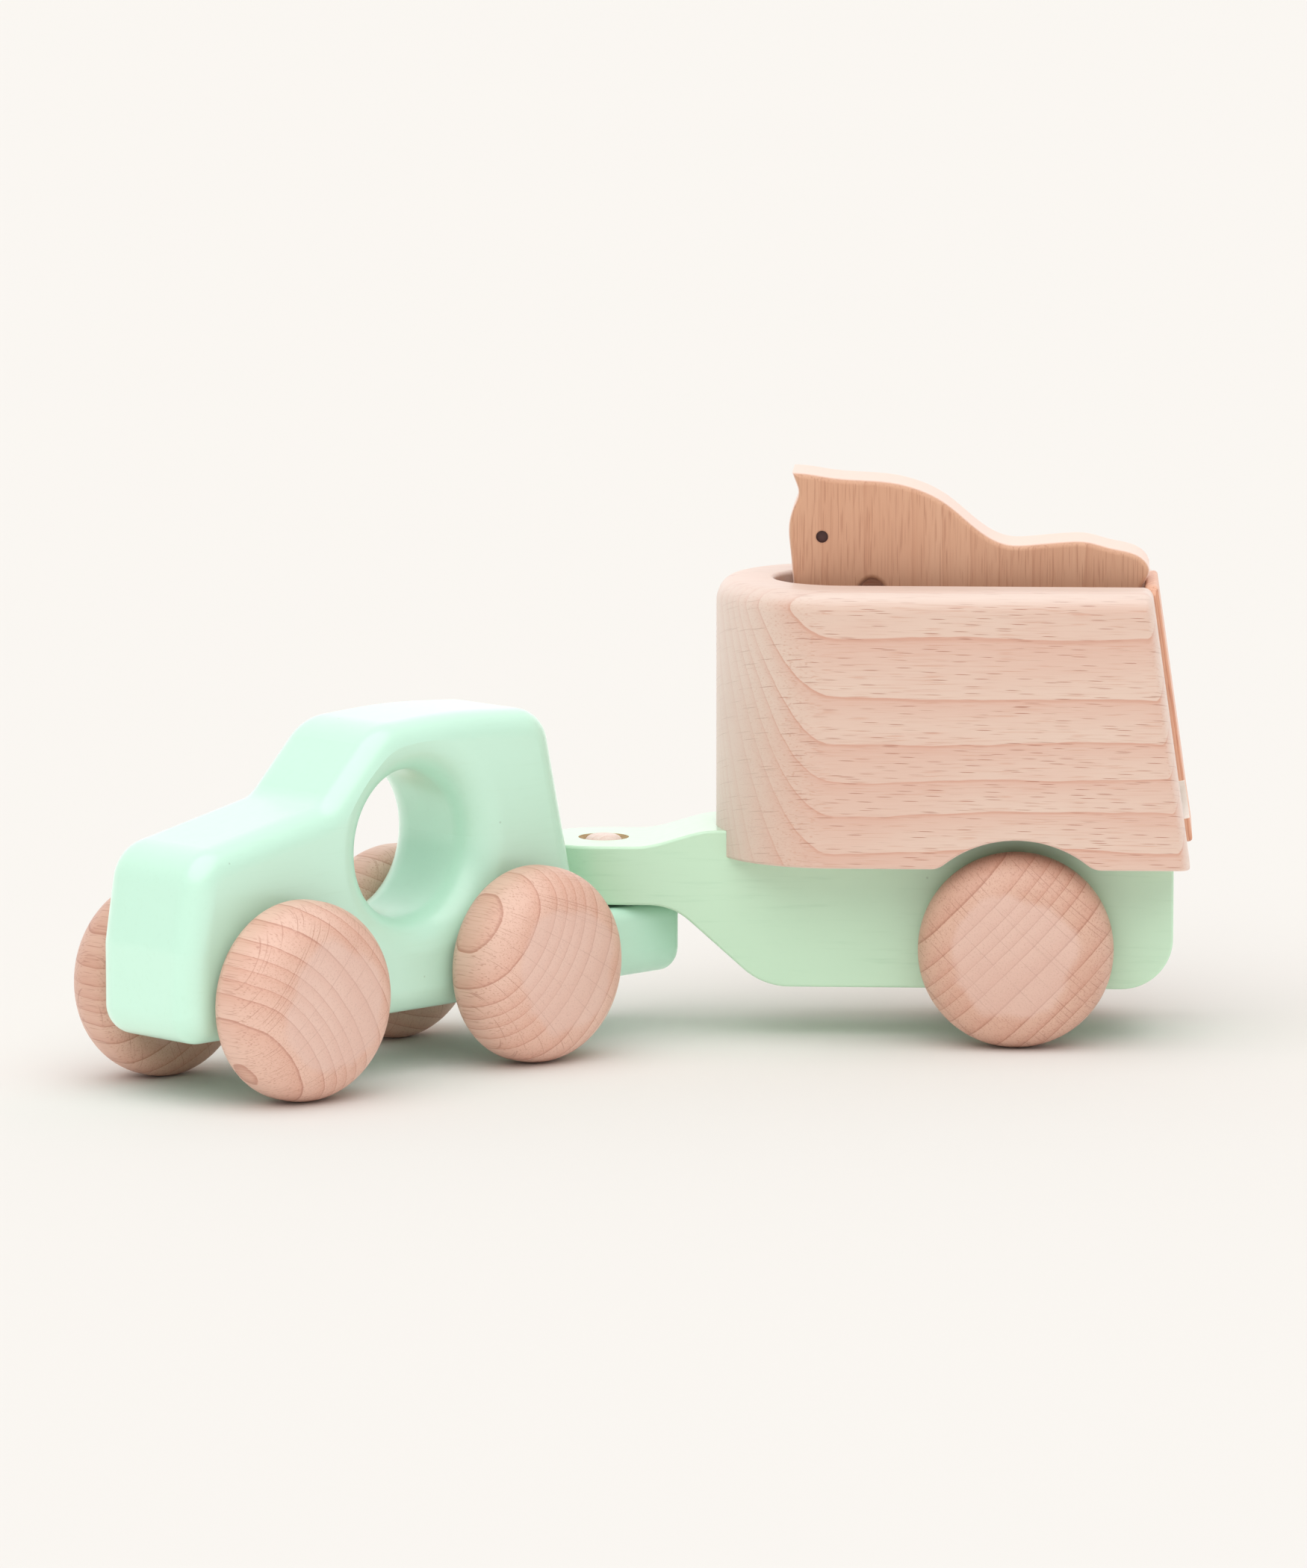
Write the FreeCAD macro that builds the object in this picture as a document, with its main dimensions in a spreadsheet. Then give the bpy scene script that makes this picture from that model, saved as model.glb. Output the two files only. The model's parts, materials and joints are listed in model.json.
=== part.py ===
import FreeCAD, Part
import math
import os
import re
import Sketcher

# A wooden push-along car that tows a two-wheeled horse box with a horse in it.
# Millimetres, +Z up, the ground at z = 0. The hitch peg's axis is x = y = 0.
# The trailer runs along +X behind the hitch. The car is drawn straight, along -X in front of the
# hitch, and every car piece is then turned about the hitch by car_turn, the way the pair stands at rest.

DOC = FreeCAD.newDocument("WoodenCarAndHorseBox")

DIMENSIONS = [
    # wheels and axles
    ("wheel_diameter", 45.0),
    ("wheel_inner_round", 5.5),
    ("wheel_band_end", 7.7),
    ("wheel_shoulder_round", 10.5),
    ("wheel_dome_angle", 12.2),
    ("wheel_side_gap", 0.5),
    ("wheel_centre_flat", 1.0),
    ("wheel_bore_depth", 12.0),
    ("axle_diameter", 8.0),
    ("axle_clearance", 0.07),
    ("axle_end_chamfer", 0.8),
    # boards that the car and the trailer's base are cut from
    ("board_width", 31.6),
    # car
    ("car_turn", 47.3),
    ("car_underside", 13.5),
    ("car_rear_axle_x", 44.3),
    ("car_wheelbase", 71.9),
    ("nose_x", 143.0),
    ("bonnet_front_x", 139.3),
    ("bonnet_front_z", 55.7),
    ("cowl_x", 99.3),
    ("cowl_z", 63.6),
    ("windscreen_top_x", 83.2),
    ("roof_front_z", 79.7),
    ("roof_middle_x", 59.0),
    ("roof_middle_z", 80.9),
    ("roof_middle_round", 180.0),
    ("roof_rear_x", 31.6),
    ("roof_rear_z", 79.0),
    ("tail_foot_x", 16.5),
    ("nose_round", 7.0),
    ("bonnet_round", 10.0),
    ("cowl_round", 9.0),
    ("windscreen_round", 14.0),
    ("roof_rear_round", 9.0),
    ("tail_foot_round", 7.0),
    ("car_edge_round", 6.0),
    # finger window through the cab
    ("window_x", 71.9),
    ("window_z", 51.6),
    ("window_radius", 16.8),
    ("window_flare", 8.5),
    # hitch
    ("ledge_rear_x", 10.6),
    ("ledge_top", 30.2),
    ("ledge_start_x", 32.0),
    ("ledge_top_round", 3.3),
    ("peg_diameter", 9.3),
    ("peg_clearance", 0.05),
    ("peg_foot", 17.0),
    ("peg_top", 45.2),
    ("peg_dome_round", 2.6),
    ("hitch_hole_diameter", 11.8),
    # trailer base
    ("base_underside", 12.1),
    ("base_rear_x", 132.3),
    ("base_top", 48.5),
    ("tongue_top", 44.55),
    ("tongue_underside", 30.9),
    ("tongue_rise_start_x", 10.8),
    ("tongue_rise_end_x", 24.0),
    ("tongue_rise_round", 22.0),
    ("slope_top_x", 16.6),
    ("slope_foot_x", 37.7),
    ("slope_top_round", 14.0),
    ("slope_foot_round", 16.0),
    ("base_heel_round", 12.0),
    ("rear_bevel", 6.0),
    ("base_edge_round", 0.7),
    ("trailer_axle_x", 96.1),
    # horse box
    ("box_front_x", 26.35),
    ("box_width", 63.0),
    ("box_underside", 42.2),
    ("box_rim", 105.9),
    ("box_rear_foot_x", 135.97),
    ("rear_slope", 8.2),
    ("box_corner_round", 28.0),
    ("box_rim_round", 5.0),
    ("box_rear_round", 2.5),
    ("box_lower_round", 0.6),
    ("arch_radius", 26.5),
    ("arch_end_round", 5.0),
    ("pocket_front_x", 39.6),
    ("pocket_width", 34.4),
    ("pocket_floor", 55.0),
    ("pocket_rim_round", 1.0),
    # tailgate
    ("gate_thickness", 3.0),
    ("gate_proud", 1.3),
    ("gate_side_gap", 0.4),
    ("gate_pivot_z", 50.4),
    ("gate_pivot_inset", 2.6),
    ("gate_foot_depth", 4.0),
    ("gate_foot_back", 2.4),
    ("gate_foot_rise", 5.5),
    ("gate_foot_round", 2.0),
    ("gate_toe_round", 0.8),
    ("gate_corner_round", 3.0),
    ("gate_edge_round", 0.9),
    ("gate_notch_radius", 4.3),
    ("gate_notch_z", 56.3),
    ("rod_diameter", 1.6),
    ("rod_clearance", 0.05),
    ("rod_wall_depth", 7.0),
    ("rod_end_inset", 0.2),
    # hidden dowels between the base and the box
    ("dowel_diameter", 6.0),
    ("dowel_depth_in_base", 8.5),
    ("dowel_depth_in_box", 4.5),
    ("dowel_front_x", 52.0),
    ("dowel_rear_x", 118.0),
    # horse
    ("horse_thickness", 19.5),
    ("horse_edge_round", 1.3),
    ("eye_diameter", 2.8),
    ("eye_depth", 1.2),
    # how far a cutter runs on past the surface that it opens
    ("cut_overrun", 2.0),
]


def make_sheet():
    """The driving dimensions, one aliased cell each."""
    sheet = DOC.addObject("Spreadsheet::Sheet", "Dimensions")
    for row, (alias, number) in enumerate(DIMENSIONS, start=1):
        sheet.set(f"A{row}", alias)
        sheet.set(f"B{row}", str(number))
        sheet.setAlias(f"B{row}", alias)
    DOC.recompute()
    return sheet


SHEET = make_sheet()

# Places nearer than this, in mm, are the same place; a curve is tested at this many of its points.
NEAR = 0.01
SAMPLES = 5


def named(words):
    """An expression on the sheet: every alias in it gets the sheet's name."""
    aliases = dict(DIMENSIONS)

    def on_sheet(found):
        word = found[0]
        return f"Dimensions.{word}" if word in aliases else word
    return re.sub(r"[a-z_]+", on_sheet, words)


def value(words):
    """The number that an expression on the sheet comes to."""
    return float(SHEET.evalExpression(named(words)))


def bind(thing, **sizes):
    """Bind properties of a document object to expressions on the sheet."""
    for prop, words in sizes.items():
        thing.setExpression(prop.replace("__", "."), named(words))


# ---------------------------------------------------------------- sketches and solid features

def new_body(name):
    return DOC.addObject("PartDesign::Body", name)


def new_sketch(body, name, role, **offsets):
    """A sketch on one of the body's own origin planes; offsets move it off that plane."""
    sketch = body.newObject("Sketcher::SketchObject", name)
    plane = next(item for item in body.Origin.OriginFeatures if item.Role == role)
    sketch.AttachmentSupport = (plane, "")
    sketch.MapMode = "FlatFace"
    for axis, words in offsets.items():
        sketch.setExpression(f"AttachmentOffset.Base.{axis}", named(words))
    return sketch


def arc_between(start, end, radius):
    """The anticlockwise circle arc from start to end."""
    chord = end - start
    across = FreeCAD.Vector(chord.y, -chord.x, 0).normalize()
    rise = math.sqrt(radius ** 2 - (chord.Length / 2) ** 2)
    middle = (start + end) * 0.5 + across * (radius - rise)
    return Part.Arc(start, middle, end)


def add_rules(sketch, rules, sizes):
    """Add all constraints at once, then bind the sized ones to their expressions."""
    sketch.addConstraint(rules)
    for number, words in sizes.items():
        sketch.setExpression(f"Constraints[{number}]", named(words))


def draw_outline(sketch, corners, arcs=None):
    """A closed outline, drawn anticlockwise. corners are pairs of expressions; arcs gives the radius
    of the side that starts at a corner and bends outwards, and every other side is straight."""
    arcs = arcs or {}
    places = [FreeCAD.Vector(value(across), value(up), 0) for across, up in corners]
    rules, sizes = [], {}
    for index, (across, up) in enumerate(corners):
        start, end = places[index], places[(index + 1) % len(places)]
        if index in arcs:
            sketch.addGeometry(arc_between(start, end, value(arcs[index])))
            sizes[len(rules)] = arcs[index]
            rules.append(Sketcher.Constraint("Radius", index, value(arcs[index])))
        else:
            sketch.addGeometry(Part.LineSegment(start, end))
        rules.append(Sketcher.Constraint("Coincident", (index - 1) % len(places), 2, index, 1))
        for kind, words in (("DistanceX", across), ("DistanceY", up)):
            sizes[len(rules)] = words
            rules.append(Sketcher.Constraint(kind, -1, 1, index, 1, value(words)))
    add_rules(sketch, rules, sizes)


def rounded_corner(before, corner, after, radius):
    """Where a rounded corner starts and ends, and the point of its arc nearest to the corner."""
    back, onward = (before - corner).normalize(), (after - corner).normalize()
    half_angle = back.getAngle(onward) / 2
    inward = (back + onward).normalize()
    reach = radius / math.tan(half_angle)
    nearest = corner + inward * (radius / math.sin(half_angle) - radius)
    return corner + back * reach, nearest, corner + onward * reach


def draw_rounded_outline(sketch, corners):
    """A closed outline of straight sides. corners are (across, up, radius), radius None for a sharp
    one. A rounded corner keeps its own construction point, which both of its sides aim at."""
    places = [FreeCAD.Vector(value(across), value(up), 0) for across, up, _ in corners]
    count = len(corners)
    rounds = []
    for index, (_, _, radius) in enumerate(corners):
        before, place, after = places[index - 1], places[index], places[(index + 1) % count]
        if radius:
            rounds.append(rounded_corner(before, place, after, value(radius)))
        else:
            rounds.append((place, place, place))
    for index in range(count):
        sketch.addGeometry(Part.LineSegment(rounds[index][2], rounds[(index + 1) % count][0]))
    rules, sizes = [], {}
    for index, (across, up, radius) in enumerate(corners):
        before = (index - 1) % count
        point = index
        if radius:
            entry, nearest, leaving = rounds[index]
            turns_left = (nearest - entry).cross(leaving - nearest).z > 0
            ends = (entry, nearest, leaving) if turns_left else (leaving, nearest, entry)
            first, last = (1, 2) if turns_left else (2, 1)
            curve = sketch.addGeometry(Part.Arc(*ends))
            point = sketch.addGeometry(Part.Point(places[index]), True)
            rules.append(Sketcher.Constraint("PointOnObject", point, 1, before))
            rules.append(Sketcher.Constraint("PointOnObject", point, 1, index))
            rules.append(Sketcher.Constraint("Tangent", before, 2, curve, first))
            rules.append(Sketcher.Constraint("Tangent", curve, last, index, 1))
            sizes[len(rules)] = radius
            rules.append(Sketcher.Constraint("Radius", curve, value(radius)))
        else:
            rules.append(Sketcher.Constraint("Coincident", before, 2, index, 1))
        for kind, words in (("DistanceX", across), ("DistanceY", up)):
            sizes[len(rules)] = words
            rules.append(Sketcher.Constraint(kind, -1, 1, point, 1, value(words)))
    add_rules(sketch, rules, sizes)


def draw_circle(sketch, across, up, diameter):
    """One circle, its centre and diameter bound to expressions."""
    centre = FreeCAD.Vector(value(across), value(up), 0)
    sketch.addGeometry(Part.Circle(centre, FreeCAD.Vector(0, 0, 1), value(diameter) / 2))
    rules = (
        ("Diameter", diameter, (0,)),
        ("DistanceX", across, (-1, 1, 0, 3)),
        ("DistanceY", up, (-1, 1, 0, 3)),
    )
    for kind, words, where in rules:
        number = sketch.addConstraint(Sketcher.Constraint(kind, *where, value(words)))
        sketch.setExpression(f"Constraints[{number}]", named(words))


def rectangle(left, right, low, high):
    """The corners of an upright rectangle, for draw_outline."""
    return [(left, low), (right, low), (right, high), (left, high)]


def add_feature(body, kind, sketch, length, both_ways=False, backwards=False):
    """A Pad or Pocket of a sketch; the change of volume shows that it points the right way."""
    DOC.recompute()
    before = body.Shape.Volume if body.Tip and body.Tip != sketch else 0.0
    feature = body.newObject(f"PartDesign::{kind}", f"{sketch.Name}_{kind}")
    feature.Profile = sketch
    feature.SideType = "Symmetric" if both_ways else "One side"
    feature.Reversed = backwards
    bind(feature, Length=length)
    DOC.recompute()
    grew = feature.Shape.Volume - before
    if (kind == "Pad" and grew <= 0) or (kind == "Pocket" and grew >= 0):
        raise RuntimeError(f"{feature.Name} changed nothing")
    return feature


def round_edges(body, name, radius, chosen, kind="Fillet"):
    """A Fillet or Chamfer on those edges of the body's tip for which chosen(edge) holds."""
    base = body.Tip
    edges = [f"Edge{number}" for number, edge in enumerate(base.Shape.Edges, start=1) if chosen(edge)]
    if not edges:
        raise RuntimeError(f"{name} found no edges")
    feature = body.newObject(f"PartDesign::{kind}", name)
    feature.Base = (base, edges)
    bind(feature, **{"Radius" if kind == "Fillet" else "Size": radius})
    DOC.recompute()
    return feature


def runs_across(across, up):
    """Chooser: an edge parallel to Y through the point (across, up) of the XZ plane."""
    place = (value(across), value(up))

    def chosen(edge):
        ends = [vertex.Point for vertex in edge.Vertexes]
        return all(math.hypot(end.x - place[0], end.z - place[1]) < NEAR for end in ends)
    return chosen


def lies_in(axis, *levels):
    """Chooser: an edge that lies in a plane square to one axis, at one of the levels."""
    numbers = [value(words) for words in levels]

    def chosen(edge):
        low, high = getattr(edge.BoundBox, f"{axis}Min"), getattr(edge.BoundBox, f"{axis}Max")
        return any(abs(low - number) < NEAR and abs(high - number) < NEAR for number in numbers)
    return chosen


def make_board(name, corners, width):
    """A board sawn to a side outline. corners are (x, z, radius), radius None for a sharp one."""
    body = new_body(name)
    sketch = new_sketch(body, f"{name}_outline", "XZ_Plane")
    draw_rounded_outline(sketch, corners)
    add_feature(body, "Pad", sketch, width, both_ways=True)
    return body


# ---------------------------------------------------------------- primitives and booleans

UPRIGHT = FreeCAD.Rotation()
CROSSWISE = FreeCAD.Rotation(FreeCAD.Vector(1, 0, 0), -90)


def move_to(thing, across, along, up, rotation=UPRIGHT):
    """Place a primitive, its position bound to expressions. CROSSWISE lays its axis along +Y."""
    thing.Placement = FreeCAD.Placement(FreeCAD.Vector(), rotation)
    bind(thing, Placement__Base__x=across, Placement__Base__y=along, Placement__Base__z=up)
    return thing


def cylinder(name, diameter, length):
    thing = DOC.addObject("Part::Cylinder", name)
    bind(thing, Radius=f"( {diameter} ) / 2", Height=length)
    return thing


def crosswise_bore(name, diameter, across, up):
    """A cylinder right across the boards."""
    bore = cylinder(name, diameter, "box_width * 2")
    return move_to(bore, across, "-1 * box_width", up, CROSSWISE)


def join(name, pieces):
    thing = DOC.addObject("Part::MultiFuse", name)
    thing.Shapes = pieces
    return thing


def cut(name, base, tool):
    thing = DOC.addObject("Part::Cut", name)
    thing.Base = base
    thing.Tool = tool
    return thing


# ---------------------------------------------------------------- sub-parts

CAR_REAR_AXLE = "-1 * car_rear_axle_x"
CAR_FRONT_AXLE = f"{CAR_REAR_AXLE} - car_wheelbase"
AXLE_BORE = "axle_diameter + 2 * axle_clearance"

NODES = []


def finish(thing, label):
    """Give a sub-part its own label, which names its file."""
    thing.Label = label
    NODES.append(thing)
    return thing


def finish_on_car(thing, label, across="0", along="0", up="0", turn="0"):
    """A sub-part of the car: placed on the straight car, then turned about the hitch peg."""
    cosine, sine = "cos( car_turn * 1 deg )", "sin( car_turn * 1 deg )"
    bind(
        thing,
        Placement__Rotation__Angle=f"( car_turn + {turn} ) * 1 deg",
        Placement__Base__x=f"{cosine} * ( {across} ) - {sine} * ( {along} )",
        Placement__Base__y=f"{sine} * ( {across} ) + {cosine} * ( {along} )",
        Placement__Base__z=up,
    )
    return finish(thing, label)


def finish_on_trailer(thing, label, across="0", along="0", up="0", turn="0"):
    bind(
        thing,
        Placement__Rotation__Angle=f"( {turn} ) * 1 deg",
        Placement__Base__x=across,
        Placement__Base__y=along,
        Placement__Base__z=up,
    )
    return finish(thing, label)


def make_wheel(name):
    """A turned wheel: flat inner face, rounded rim, domed outer face, blind bore for its axle.
    Its axis is +Y and its inner face is at y = 0."""
    body = new_body(f"{name}_blank")
    sketch = new_sketch(body, f"{name}_profile", "XY_Plane")
    sine, cosine = "sin( wheel_dome_angle * 1 deg )", "cos( wheel_dome_angle * 1 deg )"
    shoulder_radius = f"wheel_diameter / 2 - wheel_shoulder_round * ( 1 - {sine} )"
    shoulder_height = f"wheel_band_end + wheel_shoulder_round * {cosine}"
    dome_radius = f"( {shoulder_radius} ) / {sine}"
    dome_rise = f"sqrt( ( {dome_radius} ) ^ 2 - wheel_centre_flat ^ 2 ) - {dome_radius} * {cosine}"
    face_height = f"{shoulder_height} + {dome_rise}"
    corners = [
        ("0", "0"),
        ("wheel_diameter / 2 - wheel_inner_round", "0"),
        ("wheel_diameter / 2", "wheel_inner_round"),
        ("wheel_diameter / 2", "wheel_band_end"),
        (shoulder_radius, shoulder_height),
        ("wheel_centre_flat", face_height),
        ("0", face_height),
    ]
    arcs = {1: "wheel_inner_round", 3: "wheel_shoulder_round", 4: dome_radius}
    draw_outline(sketch, corners, arcs)
    revolution = body.newObject("PartDesign::Revolution", f"{name}_turning")
    revolution.Profile = sketch
    revolution.ReferenceAxis = (sketch, ["V_Axis"])
    bore = cylinder(f"{name}_bore", "axle_diameter", "wheel_bore_depth")
    move_to(bore, "0", "0", "0", CROSSWISE)
    return cut(name, body, bore)


def make_axle(name):
    """A dowel as long as the board, the two side gaps and the two wheel bores."""
    body = new_body(name)
    sketch = new_sketch(body, f"{name}_end", "XZ_Plane")
    draw_circle(sketch, "0", "0", "axle_diameter")
    length = "board_width + 2 * ( wheel_side_gap + wheel_bore_depth )"
    add_feature(body, "Pad", sketch, length, both_ways=True)
    ends = lies_in("Y", f"( {length} ) / 2", f"-1 * ( {length} ) / 2")
    round_edges(body, f"{name}_chamfer", "axle_end_chamfer", ends, kind="Chamfer")
    return body


def make_wheelset(prefix, across, place):
    """An axle with a wheel at each end; place is finish_on_car or finish_on_trailer."""
    wheel_face = "board_width / 2 + wheel_side_gap"
    up = "wheel_diameter / 2"
    place(make_axle(f"{prefix}_axle"), f"{prefix}_axle", across=across, up=up)
    right = make_wheel(f"{prefix}_wheel_right")
    place(right, f"{prefix}_wheel_right", across=across, along=wheel_face, up=up)
    left = make_wheel(f"{prefix}_wheel_left")
    place(left, f"{prefix}_wheel_left", across=across, along=f"-1 * ( {wheel_face} )", up=up, turn="180")


def make_car_body():
    """Cab and bonnet sawn from one board, with a low ledge behind for the hitch peg."""
    cab = make_board(
        "car_cab",
        [
            ("-1 * nose_x", "car_underside", "nose_round"),
            ("-1 * nose_x", "( car_underside + bonnet_front_z ) / 2", "bonnet_round"),
            ("-1 * bonnet_front_x", "bonnet_front_z", "bonnet_round"),
            ("-1 * cowl_x", "cowl_z", "cowl_round"),
            ("-1 * windscreen_top_x", "roof_front_z", "windscreen_round"),
            ("-1 * roof_middle_x", "roof_middle_z", "roof_middle_round"),
            ("-1 * roof_rear_x", "roof_rear_z", "roof_rear_round"),
            ("-1 * tail_foot_x", "car_underside", "tail_foot_round"),
        ],
        "board_width",
    )
    sides = lies_in("Y", "board_width / 2", "-1 * board_width / 2")
    round_edges(cab, "car_cab_edges", "car_edge_round", sides)
    ledge = make_hitch_ledge()
    flare_outer = "window_radius + window_flare"
    cutters = [crosswise_bore("window_bore", "2 * window_radius", "-1 * window_x", "window_z")]
    for side, sign in (("left", "-1"), ("right", "1")):
        cutters.append(make_window_flare(side, sign, flare_outer))
    for end, across in (("front", CAR_FRONT_AXLE), ("rear", CAR_REAR_AXLE)):
        cutters.append(crosswise_bore(f"car_{end}_bore", AXLE_BORE, across, "wheel_diameter / 2"))
    peg_hole = cylinder("peg_hole", "peg_diameter + 2 * peg_clearance", "ledge_top")
    cutters.append(move_to(peg_hole, "0", "0", "peg_foot"))
    block = join("car_block", [cab, ledge])
    finish_on_car(cut("car_body", block, join("car_cutters", cutters)), "car_body")


def make_hitch_ledge():
    """The bar behind the cab: its lower edges carry on from the cab's, its other edges are finer."""
    body = new_body("car_ledge")
    sketch = new_sketch(body, "car_ledge_end", "YZ_Plane", z="-1 * ledge_start_x")
    left, right = "-1 * board_width / 2", "board_width / 2"
    draw_outline(sketch, rectangle(left, right, "car_underside", "ledge_top"))
    add_feature(body, "Pad", sketch, "ledge_start_x + ledge_rear_x")
    low = lies_in("Z", "car_underside")
    along = lies_in("Y", left, right)
    round_edges(body, "car_ledge_lower", "car_edge_round", lambda edge: low(edge) and along(edge))
    rear = lies_in("X", "ledge_rear_x")
    top = lies_in("Z", "ledge_top")

    def upper(edge):
        return rear(edge) or (top(edge) and along(edge))
    round_edges(body, "car_ledge_upper", "ledge_top_round", upper)
    return body


def make_window_flare(side, sign, flare_outer):
    """The round-over where the window meets one side of the cab: a disc less a ring."""
    level = f"{sign} * ( board_width / 2 - window_flare )"
    disc = cylinder(f"window_disc_{side}", f"2 * ( {flare_outer} )", "window_flare + cut_overrun")
    disc_start = level if sign == "1" else f"{level} - window_flare - cut_overrun"
    move_to(disc, "-1 * window_x", disc_start, "window_z", CROSSWISE)
    ring = DOC.addObject("Part::Torus", f"window_ring_{side}")
    bind(ring, Radius1=flare_outer, Radius2="window_flare")
    move_to(ring, "-1 * window_x", level, "window_z", CROSSWISE)
    return cut(f"window_flare_{side}", disc, ring)


def make_hitch_peg():
    """A dowel with a domed top that stands in the ledge and rises through the tongue."""
    body = new_body("hitch_peg")
    sketch = new_sketch(body, "hitch_peg_end", "XY_Plane", z="peg_foot")
    draw_circle(sketch, "0", "0", "peg_diameter")
    add_feature(body, "Pad", sketch, "peg_top - peg_foot")
    round_edges(body, "hitch_peg_dome", "peg_dome_round", lies_in("Z", "peg_top"))
    finish_on_car(body, "hitch_peg")


def make_trailer_base():
    """A board with a round-ended tongue in front: the tongue drops onto the hitch peg."""
    board = make_board(
        "base_board",
        [
            ("0", "tongue_underside", None),
            ("0", "tongue_top", None),
            ("tongue_rise_start_x", "tongue_top", "tongue_rise_round"),
            ("tongue_rise_end_x", "base_top", "tongue_rise_round"),
            ("base_rear_x - rear_bevel", "base_top", None),
            ("base_rear_x", "base_top - rear_bevel", None),
            ("base_rear_x", "base_underside", "base_heel_round"),
            ("slope_foot_x", "base_underside", "slope_foot_round"),
            ("slope_top_x", "tongue_underside", "slope_top_round"),
        ],
        "board_width",
    )
    tip = new_sketch(board, "tongue_tip", "XY_Plane", z="tongue_underside")
    draw_circle(tip, "0", "0", "board_width")
    add_feature(board, "Pad", tip, "tongue_top - tongue_underside")
    sides = lies_in("Y", "board_width / 2", "-1 * board_width / 2")
    seam = lies_in("X", "0")
    round_edges(board, "base_edges", "base_edge_round", lambda edge: sides(edge) and not seam(edge))
    hitch_hole = cylinder("hitch_hole", "hitch_hole_diameter", "base_top")
    cutters = [move_to(hitch_hole, "0", "0", "base_underside")]
    cutters.append(crosswise_bore("trailer_bore", AXLE_BORE, "trailer_axle_x", "wheel_diameter / 2"))
    cutters.append(make_dowels("base_dowel_holes"))
    finish_on_trailer(cut("trailer_base", board, join("base_cutters", cutters)), "trailer_base")


def make_dowels(name):
    """The two upright dowels that key the box to the base, or the holes for them."""
    pieces = []
    for end in ("front", "rear"):
        dowel = cylinder(f"{name}_{end}", "dowel_diameter", "dowel_depth_in_base + dowel_depth_in_box")
        pieces.append(move_to(dowel, f"dowel_{end}_x", "0", "base_top - dowel_depth_in_base"))
    thing = DOC.addObject("Part::Compound", name)
    thing.Links = pieces
    return thing


REAR_X_AT_RIM = "box_rear_foot_x - ( box_rim - box_underside ) * tan( rear_slope * 1 deg )"
REAR_X_AT_PIVOT = "box_rear_foot_x - ( gate_pivot_z - box_underside ) * tan( rear_slope * 1 deg )"
PIVOT_X = f"{REAR_X_AT_PIVOT} - gate_pivot_inset / cos( rear_slope * 1 deg )"


def make_horse_box():
    """A block with a round front, a sloping rear and a deep pocket that is open at the back.
    A channel underneath seats it over the base and an arch clears the wheels."""
    body = make_board(
        "box_block",
        [
            ("box_front_x", "box_underside", None),
            ("box_rear_foot_x", "box_underside", None),
            (REAR_X_AT_RIM, "box_rim", None),
            ("box_front_x", "box_rim", None),
        ],
        "box_width",
    )
    sides = lies_in("Y", "box_width / 2", "-1 * box_width / 2")
    front = lies_in("X", "box_front_x")
    round_edges(body, "box_front_corners", "box_corner_round", lambda edge: sides(edge) and front(edge))
    top = lies_in("Z", "box_rim")
    rear_top = runs_across(REAR_X_AT_RIM, "box_rim")
    round_edges(body, "box_rim_edges", "box_rim_round", lambda edge: top(edge) and not rear_top(edge))
    cut_wheel_arch(body)
    round_edges(body, "box_rear_edges", "box_rear_round", on_rear_face)
    round_edges(body, "box_lower_edges", "box_lower_round", on_lower_rim)
    cut_pocket(body)
    cutters = [make_dowels("box_dowel_holes"), make_rod("rod_hole")]
    finish_on_trailer(cut("horse_box", body, join("box_cutters", cutters)), "horse_box")


def on_rear_face(edge):
    """Chooser: an edge in the sloping rear face of the box, above its foot."""
    slope = math.tan(math.radians(value("rear_slope")))
    foot_x, foot_z = value("box_rear_foot_x"), value("box_underside")
    points = edge.discretize(SAMPLES)
    in_face = all(abs(foot_x - (point.z - foot_z) * slope - point.x) < NEAR for point in points)
    return in_face and not all(abs(point.z - foot_z) < NEAR for point in points)


def on_lower_rim(edge):
    """Chooser: an edge where the underside or the wheel arch meets the outside of the box."""
    side = value("box_width") / 2
    middle = edge.valueAt((edge.FirstParameter + edge.LastParameter) / 2)
    in_side = all(abs(abs(point.y) - side) < NEAR for point in edge.discretize(SAMPLES))
    reaches_arch = middle.z < value("wheel_diameter / 2 + arch_radius") + NEAR
    along_front = lies_in("Z", "box_underside")(edge) and middle.x < value("box_front_x + box_corner_round")
    return along_front or (in_side and reaches_arch and abs(edge.BoundBox.XMax - edge.BoundBox.XMin) > NEAR)


def cut_wheel_arch(body):
    """A round arch over each wheel, centred on the axle, with eased ends."""
    sketch = new_sketch(body, "arch", "XZ_Plane")
    draw_circle(sketch, "trailer_axle_x", "wheel_diameter / 2", "2 * arch_radius")
    add_feature(body, "Pocket", sketch, "2 * box_width", both_ways=True)
    half_chord = "sqrt( arch_radius ^ 2 - ( box_underside - wheel_diameter / 2 ) ^ 2 )"
    ends = [runs_across(f"trailer_axle_x {sign} {half_chord}", "box_underside") for sign in "+-"]
    round_edges(body, "arch_ends", "arch_end_round", lambda edge: any(end(edge) for end in ends))


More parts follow.
